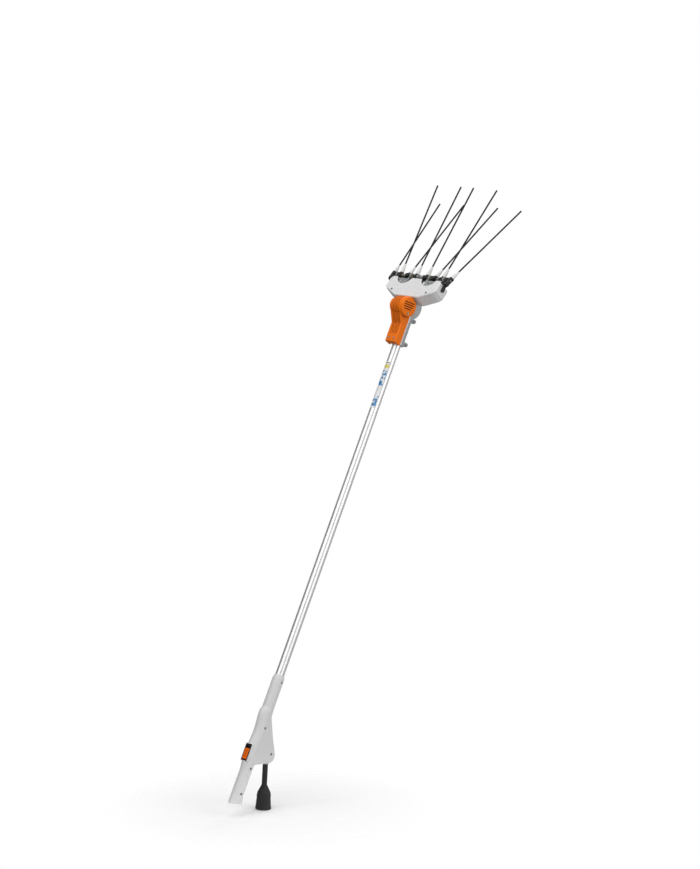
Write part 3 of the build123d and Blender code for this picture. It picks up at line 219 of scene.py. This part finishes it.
def moulded(name, colour, roughness=0.45, grain=0.12, corner_shade=0.35, worn=0.12, depth=4, **sockets):
    """Injection-moulded plastic: grain, mottled sheen, hairline scuffs, painted shade in corners.

    corner_shade is how dark the painted shade in corners gets, depth how many millimetres it
    reaches, worn how pale edges are.
    """
    f = Finish(name, colour, roughness=roughness, **sockets)
    here = f.place()
    broad = f.noise(here, 9, 4)
    tone = f.blend(f.span(broad, 0.3, 0.7), shade(colour, 0.94), shade(colour, 1.03))
    speckle = f.noise(here, 900, 2)
    tone = f.blend(f.span(speckle, 0.62, 0.78, 0, 0.35), tone, shade(colour, 0.86))
    scuffs = f.noise(f.place((60, 700, 60), (0.5, 0.3, 0.9)), 1, 5, 0.65)
    marks = f.span(scuffs, 0.66, 0.74)
    tone = f.blend(f.maths("MULTIPLY", marks, 0.25), tone, tint(colour, SCUFF, 0.5))
    tone = f.blend(f.maths("MULTIPLY", f.edges(0.6 * MM), worn), tone, shade(colour, 1.6))
    # painted shade: occlusion darkens corners and grooves towards a dark, slightly tinted copy of
    # the colour
    corner = f.span(f.crevices(depth * MM), 0.9, 0.35, 0, corner_shade)
    f.set_colour(f.blend(corner, tone, tint(shade(colour, 0.4), SHADE_TINT, 0.12)))
    sheen = f.span(f.noise(here, 55, 4), 0.3, 0.7, roughness - 0.06, roughness + 0.07)
    f.set_roughness(f.maths("ADD", sheen, f.maths("MULTIPLY", marks, 0.12)))
    f.bump(f.noise(here, 2600, 2), grain, 0.08 * MM)
    f.bump(broad, 0.15, 0.4 * MM)
    return f.material


def cast_metal(name, colour, roughness=0.48):
    """Die-cast aluminium, bead blasted: pitted grain, cloudy tone, brighter rubbed edges."""
    f = Finish(name, colour, metallic=0.85, roughness=roughness)
    here = f.place()
    cloud = f.noise(here, 28, 5, 0.6)
    tone = f.blend(f.span(cloud, 0.3, 0.72), shade(colour, 0.82), shade(colour, 1.08))
    pits = f.span(f.cells(here, 950), 0.0, 0.22, 1, 0)
    tone = f.blend(f.maths("MULTIPLY", pits, 0.25), tone, shade(colour, 0.6))
    tone = f.blend(f.maths("MULTIPLY", f.edges(0.7 * MM), 0.5), tone, (0.86, 0.87, 0.88))
    # painted shade: occlusion darkens crevices towards near black
    corner = f.span(f.crevices(5 * MM), 0.8, 0.2, 0, 0.6)
    f.set_colour(f.blend(corner, tone, (0.09, 0.085, 0.08)))
    f.set_roughness(f.span(cloud, 0.3, 0.7, roughness - 0.07, roughness + 0.1))
    f.bump(f.noise(here, 1500, 3), 0.35, 0.12 * MM)
    f.bump(pits, 0.2, 0.08 * MM)
    return f.material


def drawn_metal(name, colour, stretch, roughness=0.3, streak=0.5, metallic=1.0):
    """Drawn, turned or ground metal: fine lines along one way, faint stains and handling marks."""
    f = Finish(name, colour, metallic=metallic, roughness=roughness)
    here = f.place()
    lines = f.noise(f.place(stretch), 1, 4, 0.7)
    tone = f.blend(f.span(lines, 0.3, 0.7), shade(colour, 0.86), shade(colour, 1.06))
    stain = f.span(f.noise(here, 16, 5, 0.6), 0.58, 0.75, 0, 0.4)
    f.set_colour(f.blend(stain, tone, shade(colour, 0.72)))
    f.set_roughness(f.span(lines, 0.25, 0.75, roughness - 0.07, roughness + 0.1))
    f.bump(lines, streak, 0.03 * MM)
    return f.material


def fastener(name, colour=(0.6, 0.6, 0.61), roughness=0.32):
    """Plated screw steel: soft plating mottle, painted shade in the drive recess."""
    f = Finish(name, colour, metallic=1.0, roughness=roughness)
    here = f.place()
    mottle = f.noise(here, 420, 4, 0.6)
    tone = f.blend(f.span(mottle, 0.3, 0.7), shade(colour, 0.75), shade(colour, 1.12))
    # painted shade: occlusion darkens the drive recess towards black
    corner = f.span(f.crevices(1.5 * MM), 0.8, 0.2, 0, 0.85)
    f.set_colour(f.blend(corner, tone, (0.03, 0.028, 0.025)))
    f.set_roughness(f.span(mottle, 0.3, 0.7, roughness - 0.08, roughness + 0.14))
    f.bump(f.noise(here, 2200, 2), 0.2, 0.04 * MM)
    return f.material


def composite_rod(name, direction):
    """Pultruded fibre rod: streaks along its own length and rubbed patches."""
    f = Finish(name, (0.022, 0.022, 0.024), roughness=0.5, Specular_IOR_Level=0.2)
    turn = direction.to_track_quat("Z", "Y").inverted().to_euler()
    along = f.place((1500, 1500, 14), tuple(turn))
    fibres = f.noise(along, 1, 4, 0.7)
    tone = f.blend(f.span(fibres, 0.32, 0.72), (0.012, 0.012, 0.013), (0.026, 0.026, 0.027))
    rubbed = f.span(f.noise(f.place((160, 160, 30), tuple(turn)), 1, 4), 0.6, 0.75, 0, 0.5)
    f.set_colour(f.blend(rubbed, tone, (0.035, 0.035, 0.036)))
    f.set_roughness(f.span(fibres, 0.3, 0.7, 0.36, 0.52))
    f.bump(fibres, 0.15, 0.03 * MM)
    return f.material


def rubber(name, colour=(0.006, 0.006, 0.0062)):
    """Moulded rubber: matte bloom, paler ridges, fine mould texture."""
    f = Finish(name, colour, roughness=0.62, Sheen_Weight=0.05, Sheen_Roughness=0.4)
    here = f.place()
    bloom = f.noise(here, 24, 5, 0.6)
    tone = f.blend(f.span(bloom, 0.42, 0.75), colour, (0.014, 0.0137, 0.0135))
    tone = f.blend(f.maths("MULTIPLY", f.edges(0.7 * MM), 0.5), tone, (0.075, 0.073, 0.07))
    f.set_colour(tone)
    f.set_roughness(f.span(f.noise(here, 70, 4), 0.3, 0.7, 0.54, 0.72))
    f.bump(f.noise(here, 1700, 3), 0.22, 0.1 * MM)
    return f.material


def windings(name):
    """Enamelled copper wire laid in rows."""
    f = Finish(name, (0.55, 0.22, 0.07), metallic=0.9, roughness=0.3, Coat_Weight=0.6)
    here = f.place()
    rows = f.rings(here, 420, "X", 0.6)
    f.set_colour(f.blend(rows, (0.2, 0.07, 0.02), (0.72, 0.33, 0.12)))
    f.bump(rows, 0.9, 0.3 * MM)
    f.set_roughness(f.span(f.noise(here, 300), 0.3, 0.7, 0.22, 0.42))
    return f.material


def laminations(name):
    """Stack of thin electrical steel sheets with a varnished surface."""
    f = Finish(name, (0.17, 0.17, 0.18), metallic=0.8, roughness=0.45)
    here = f.place()
    sheets = f.rings(here, 320, "X")
    f.set_colour(f.blend(sheets, (0.06, 0.06, 0.065), (0.26, 0.26, 0.27)))
    f.set_roughness(f.span(f.noise(here, 200), 0.3, 0.7, 0.36, 0.56))
    f.bump(sheets, 0.7, 0.15 * MM)
    return f.material


def solder_resist(name):
    """Green circuit board with copper tracks under the resist."""
    f = Finish(name, (0.015, 0.14, 0.05), roughness=0.3, Coat_Weight=0.5)
    here = f.place()
    grid = f.add("ShaderNodeTexBrick")
    grid.inputs["Scale"].default_value = 260
    grid.inputs["Mortar Size"].default_value = 0.06
    f.link(f.place((1, 1, 1), (0, math.pi / 2, 0)), grid.inputs["Vector"])
    tracks = grid.outputs["Fac"]
    f.set_colour(f.blend(tracks, (0.012, 0.12, 0.045), (0.05, 0.3, 0.1)))
    f.bump(tracks, 0.4, 0.08 * MM)
    f.set_roughness(f.span(f.noise(here, 150), 0.3, 0.7, 0.24, 0.4))
    return f.material


LABEL_BLUE = (0.03, 0.22, 0.50)
LABEL_YELLOW = (0.72, 0.62, 0.04)
LABEL_GREY = (0.2, 0.2, 0.21)


def label_film(name, low, high):
    """Plain printed film: white with blue flecks, a yellow band and a grey rule, no lettering.

    Each band is a start and an end up the film, from 0 to 1, an ink, and how well it covers.
    """
    f = Finish(name, (0.82, 0.82, 0.82), roughness=0.28, Coat_Weight=0.3)
    here = f.place()
    split = f.add("ShaderNodeSeparateXYZ")
    f.link(here, split.inputs[0])
    height = f.span(split.outputs["Z"], low, high)
    paper = f.blend(f.span(f.noise(here, 30, 4), 0.3, 0.7), (0.78, 0.78, 0.78), (0.86, 0.86, 0.86))
    flecks = f.span(f.noise(here, 110, 1), 0.5, 0.54)
    for start, end, ink, cover in ((0.04, 0.30, LABEL_BLUE, flecks),
                                   (0.48, 0.80, LABEL_BLUE, flecks),
                                   (0.86, 0.93, LABEL_YELLOW, 0.9),
                                   (0.965, 0.98, LABEL_GREY, 1.0)):
        inside = f.maths("MULTIPLY", f.maths("GREATER_THAN", height, start),
                         f.maths("LESS_THAN", height, end))
        paper = f.blend(f.maths("MULTIPLY", inside, cover), paper, ink)
    scratches = f.span(f.noise(f.place((900, 900, 30)), 1, 4), 0.68, 0.74, 0, 0.3)
    f.set_colour(f.blend(scratches, paper, (0.6, 0.6, 0.6)))
    f.set_roughness(f.span(f.noise(here, 80), 0.3, 0.7, 0.22, 0.38))
    f.bump(f.noise(here, 400, 2), 0.08, 0.05 * MM)
    return f.material


# ---- which finish goes on which node -----------------------------------------------------------
def finish(material, *names):
    """Puts the material in every slot of these nodes."""
    for name in names:
        data = nodes[name].data
        data.materials.clear()
        data.materials.append(material)


ORANGE = (0.97, 0.20, 0.004)
BUTTON_ORANGE = (0.95, 0.155, 0.0)
SHELL_WHITE = (0.78, 0.78, 0.78)
HANDLE_GREY = (0.76, 0.76, 0.76)
BLACK = (0.009, 0.009, 0.009)

# painted shade: the cover's grooves darkened at full strength, reaching 12 mm in
finish(moulded("orange_cover", ORANGE, 0.5, grain=0.1, corner_shade=1.0, depth=12,
               Specular_IOR_Level=0.22), "motor_cover")
finish(moulded("orange_button", BUTTON_ORANGE, 0.5, grain=0.08, Specular_IOR_Level=0.22),
       "switch_button")
finish(moulded("white_head", SHELL_WHITE, 0.4), "head_front_shell", "head_rear_shell")
finish(moulded("white_sockets", (0.78, 0.78, 0.76), 0.42), "rod_sockets_a", "rod_sockets_b")
finish(moulded("grey_handle", HANDLE_GREY, 0.42), "handle_left_shell", "handle_right_shell",
       "handle_collar")
finish(moulded("grey_flange", (0.55, 0.56, 0.57), 0.45), "boot_flange")
finish(moulded("black_filled", BLACK, 0.46, grain=0.2, corner_shade=0.1, worn=0.5), "end_holder_left",
       "end_holder_right", "inner_holder_left", "inner_holder_right", "rocker_b")
finish(moulded("black_gloss", (0.012, 0.012, 0.013), 0.3, grain=0.05, corner_shade=0.1, worn=0.4),
       "switch_frame", "micro_switch", "socket_insert", "cooling_fan", "board_parts")
finish(moulded("natural_nylon", (0.72, 0.69, 0.58), 0.38, Subsurface_Weight=0.1,
               Subsurface_Scale=0.002), "idler_gear")
finish(cast_metal("cast_case", (0.56, 0.57, 0.58)), "gear_case", "gear_case_lid")
finish(cast_metal("cast_frame", (0.42, 0.43, 0.44), 0.42), "rocker_frame")
finish(drawn_metal("pole_aluminium", (0.88, 0.88, 0.885), (500, 500, 3), 0.33, 0.03, 0.75),
       "tube")
finish(drawn_metal("ground_steel", (0.62, 0.62, 0.63), (1600, 500, 500), 0.22), "rocker_axle",
       "motor_shaft", "crankshaft")
finish(drawn_metal("cut_steel", (0.46, 0.46, 0.47), (700, 700, 700), 0.34), "crank_gear",
       "crank_rollers", "lever_a", "lever_b", "gear_bearings")
finish(drawn_metal("sintered_bronze", (0.46, 0.30, 0.13), (900, 900, 900), 0.42), "frame_bearings",
       "rocker_b_bushes")
finish(drawn_metal("contact_brass", (0.75, 0.53, 0.2), (1200, 1200, 300), 0.25), "socket_contacts")
finish(drawn_metal("painted_can", (0.035, 0.035, 0.038), (300, 900, 900), 0.4), "motor_can")
finish(fastener("bright_screws", (0.66, 0.66, 0.67)), "cover_screws", "clamp_screws", "frame_bolts")
finish(fastener("dark_screws", (0.20, 0.20, 0.205), 0.38), "handle_screws", "head_screws")
finish(rubber("black_rubber"), "boot")
finish(rubber("lead_sheath", (0.015, 0.015, 0.016)), "supply_lead", "boot_lead")
finish(windings("copper_wire"), "stator_coils")
finish(laminations("steel_laminations"), "motor_stator", "motor_rotor")
finish(solder_resist("circuit_board"), "control_board")
label_low, label_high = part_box("tube_label")
finish(label_film("plain_label", label_low.z, label_high.z), "tube_label")


FOOT_DEPTH = 3 * MM
ROD_COUNT = 8


def long_way(name):
    """Direction of a rod's length, from the two ends of its mesh."""
    points = [vertex.co for vertex in nodes[name].data.vertices]
    foot_top = min(point.z for point in points) + FOOT_DEPTH
    foot_points = [point for point in points if point.z < foot_top]
    top = max(points, key=lambda point: point.z)
    return (top - sum(foot_points, Vector()) / len(foot_points)).normalized()


for number in range(1, ROD_COUNT + 1):
    finish(composite_rod(f"fibre_rod_{number}", long_way(f"rod_{number}")), f"rod_{number}")


# ---- floor, light and backdrop -----------------------------------------------------------------
FLOOR_TILT = math.radians(7)            # from edge-on to the photograph's view
FLOOR_RADIUS = 0.55
FLOOR_SIDES = 64
FLOOR_DROP = 0.4 * MM                   # keeps the paper clear of the lowest point
FLOOR_GLOW = 0.11
FLOOR_WHITE = (0.92, 0.92, 0.92)
FLOOR_BRIGHT = (0.95, 0.95, 0.95)


def floor_paper(name, middle):
    """Pale paper, faintly mottled, that fades out towards the rim of the floor."""
    f = Finish(name, (0.93, 0.93, 0.93), roughness=0.9, Emission_Color=(1, 1, 1, 1),
               Emission_Strength=FLOOR_GLOW)
    mottle = f.noise(f.place(), 60, 4)
    f.set_colour(f.blend(f.span(mottle, 0.3, 0.7), FLOOR_WHITE, FLOOR_BRIGHT))
    distance = f.add("ShaderNodeVectorMath", operation="DISTANCE")
    distance.inputs[1].default_value = tuple(middle)
    f.link(f.place(), distance.inputs[0])
    f.link(f.span(distance.outputs["Value"], FLOOR_RADIUS * 0.95, FLOOR_RADIUS * 0.35),
           f.shader.inputs["Alpha"])
    return f.material


# the floor passes under the lowest point of the handle and the boot, as the photograph sees it
floor_normal = (view_up * math.cos(FLOOR_TILT) + back * math.sin(FLOOR_TILT)).normalized()
resting = [vertex.co for name in ("handle_left_shell", "handle_right_shell", "boot")
           for vertex in nodes[name].data.vertices]
foot = min(resting, key=lambda point: point.dot(floor_normal))
deep = floor_normal.cross(view_right)
rim = [foot - floor_normal * FLOOR_DROP
       + FLOOR_RADIUS * (view_right * math.cos(turn) + deep * math.sin(turn))
       for turn in (2 * math.pi * k / FLOOR_SIDES for k in range(FLOOR_SIDES))]

floor_data = bpy.data.meshes.new("floor")
floor_data.from_pydata([tuple(point) for point in rim], [], [list(range(FLOOR_SIDES))])
floor_data.materials.append(floor_paper("floor_paper", foot))
floor = bpy.data.objects.new("floor", floor_data)
bpy.context.scene.collection.objects.link(floor)

# plain white behind the object; the light from the room is dimmer, and dimmest from below
ROOM_LOW = -0.7
ROOM_HIGH = 0.6
ROOM_LIGHT_LOW = 0.16
ROOM_LIGHT_HIGH = 0.52

world = bpy.data.worlds.new("studio")
bpy.context.scene.world = world
world.use_nodes = True
sky = world.node_tree
backdrop = sky.nodes["Background"]
backdrop.inputs["Color"].default_value = (1, 1, 1, 1)
backdrop.inputs["Strength"].default_value = 1.0
room = sky.nodes.new("ShaderNodeBackground")
room.inputs["Color"].default_value = (1.0, 1.0, 1.0, 1)
room_way = sky.nodes.new("ShaderNodeTexCoord")
room_split = sky.nodes.new("ShaderNodeSeparateXYZ")
sky.links.new(room_way.outputs["Generated"], room_split.inputs[0])
room_level = sky.nodes.new("ShaderNodeMapRange")
for key, number in (("From Min", ROOM_LOW), ("From Max", ROOM_HIGH),
                    ("To Min", ROOM_LIGHT_LOW), ("To Max", ROOM_LIGHT_HIGH)):
    room_level.inputs[key].default_value = number
sky.links.new(room_split.outputs["Z"], room_level.inputs["Value"])
sky.links.new(room_level.outputs[0], room.inputs["Strength"])
path = sky.nodes.new("ShaderNodeLightPath")
mixed = sky.nodes.new("ShaderNodeMixShader")
sky.links.new(path.outputs["Is Camera Ray"], mixed.inputs[0])
sky.links.new(room.outputs[0], mixed.inputs[1])
sky.links.new(backdrop.outputs[0], mixed.inputs[2])
sky.links.new(mixed.outputs[0], sky.nodes["World Output"].inputs["Surface"])


box_middle = (cad_box[0] + cad_box[1]) / 2


def seen_way(way):
    """Direction given as right, up and back in the photograph's view."""
    return (view_right * way[0] + view_up * way[1] + back * way[2]).normalized()


def softbox(name, way, reach, width, height, power):
    """Area light that looks at the middle of the object: reach and size in metres, power in W."""
    data = bpy.data.lights.new(name, "AREA")
    data.shape = "RECTANGLE"
    data.size = width
    data.size_y = height
    data.energy = power
    box = bpy.data.objects.new(name, data)
    direction = seen_way(way)
    box.location = box_middle + direction * reach
    box.rotation_mode = "QUATERNION"
    box.rotation_quaternion = direction.to_track_quat("Z", "Y")
    bpy.context.scene.collection.objects.link(box)


softbox("key", (-0.6, 0.5, 0.8), 3.2, 2.6, 3.0, 41)
softbox("fill", (0.9, 0.15, 0.8), 3.4, 2.4, 3.0, 37)
softbox("top", (0.0, 1.0, 0.15), 3.0, 2.4, 1.6, 18)
softbox("rim", (0.5, 0.4, -1.0), 3.2, 1.6, 2.4, 16)

# dark card to the left: round metal mirrors it along its flank, and no view shows it
CARD_WAY = (-1.0, 0.0, -0.34)
CARD_REACH = 3.0
CARD_HALF_WIDTH = 1.25
CARD_HALF_HEIGHT = 2.4

card_way = seen_way(CARD_WAY)
card_side = card_way.cross(view_up).normalized() * CARD_HALF_WIDTH
card_rise = view_up * CARD_HALF_HEIGHT
card_middle = box_middle + card_way * CARD_REACH
card_data = bpy.data.meshes.new("dark_card")
card_data.from_pydata([tuple(card_middle + card_side * a + card_rise * b)
                       for a, b in ((-1, -1), (1, -1), (1, 1), (-1, 1))], [], [(0, 1, 2, 3)])
card_data.materials.append(moulded("card_black", (0.02, 0.02, 0.02), 0.9))
card = bpy.data.objects.new("dark_card", card_data)
bpy.context.scene.collection.objects.link(card)
card.visible_camera = False
card.visible_shadow = False

bpy.context.scene.view_settings.view_transform = "Standard"
